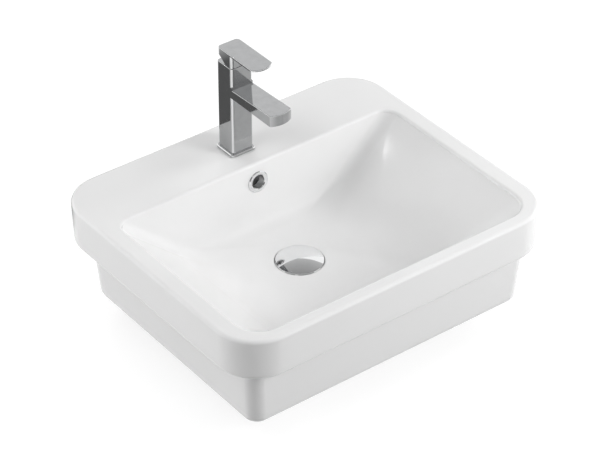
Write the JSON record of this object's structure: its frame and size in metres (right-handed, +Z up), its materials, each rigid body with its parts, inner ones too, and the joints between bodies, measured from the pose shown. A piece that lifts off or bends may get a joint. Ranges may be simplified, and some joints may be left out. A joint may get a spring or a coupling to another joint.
{
  "type": "semi recessed basin",
  "caption": "Ceramic semi-recessed wash basin with a sloped bowl, tap deck, lever tap, overflow and push-to-open slotted waste",
  "frame": {"origin": "centre of the rim in plan, on the plane of the rim's underside, which rests on the worktop", "axes": "+Z up, -Y towards the user (bowl front), +Y towards the tap deck, +X to the user's right when standing in front"},
  "size_m": [0.4998, 0.4198, 0.3485],
  "materials": {
    "vitreous_china": "white gloss glaze",
    "chrome": "mirror polished",
    "steel": "brushed",
    "brass": "turned",
    "rubber": "matt",
    "black_plastic": "matt",
    "white_plastic": "moulded",
    "disc_ceramic": "lapped"
  },
  "bodies": {
    "fixed": {"basin": "vitreous_china", "overflow_ring": "chrome", "overflow_sleeve": "black_plastic", "waste_body": "chrome", "waste_top_seal": "rubber", "waste_lower_washer": "rubber", "waste_slip_washer": "white_plastic", "waste_back_nut": "brass", "click_housing": "white_plastic", "click_nut": "brass", "click_spring": "steel", "tap_base_seal": "rubber", "tap_base_flange": "chrome", "tap_body": "chrome", "aerator_housing": "chrome", "aerator_insert": "white_plastic", "aerator_seal": "rubber", "deck_rubber_washer": "rubber", "deck_clamp_plate": "steel", "stud_nut": "brass", "mounting_stud": "steel", "cartridge_seal": "rubber", "cartridge_base": "white_plastic", "fixed_disc": "disc_ceramic", "cartridge_housing": "white_plastic", "cartridge_nut": "brass", "cartridge_cover": "chrome"},
    "carrier": {"turret": "white_plastic", "turret_pin": "steel"},
    "lever": {"lever": "chrome", "spindle": "steel", "lever_grub_screw": "steel", "screw_plug": "chrome"},
    "disc": {"moving_disc": "disc_ceramic"},
    "plug": {"plug_cap": "chrome", "plug_seal": "rubber", "click_stem": "steel"}
  },
  "joints": [
    {"name": "lever_turn", "type": "hinge", "parent": "fixed", "child": "carrier", "pos_m": [0, 0.1505, 0.19], "axis": [0, 0, 1], "range_deg": [-45, 45]},
    {"name": "lever_lift", "type": "hinge", "parent": "carrier", "child": "lever", "pos_m": [0, 0.1505, 0.19], "axis": [-1, 0, 0], "range_deg": [0, 22]},
    {"name": "disc_slide", "type": "slide", "parent": "carrier", "child": "disc", "axis": [0, -1, 0], "range_m": [0, 0.0033]},
    {"name": "plug_slide", "type": "slide", "parent": "fixed", "child": "plug", "axis": [0, 0, 1], "range_m": [0, 0.009], "deforming": ["click_spring"]}
  ],
  "couplings": [
    {"joint": "disc_slide", "follows": "lever_lift", "m_per_rad": 0.0085}
  ]
}
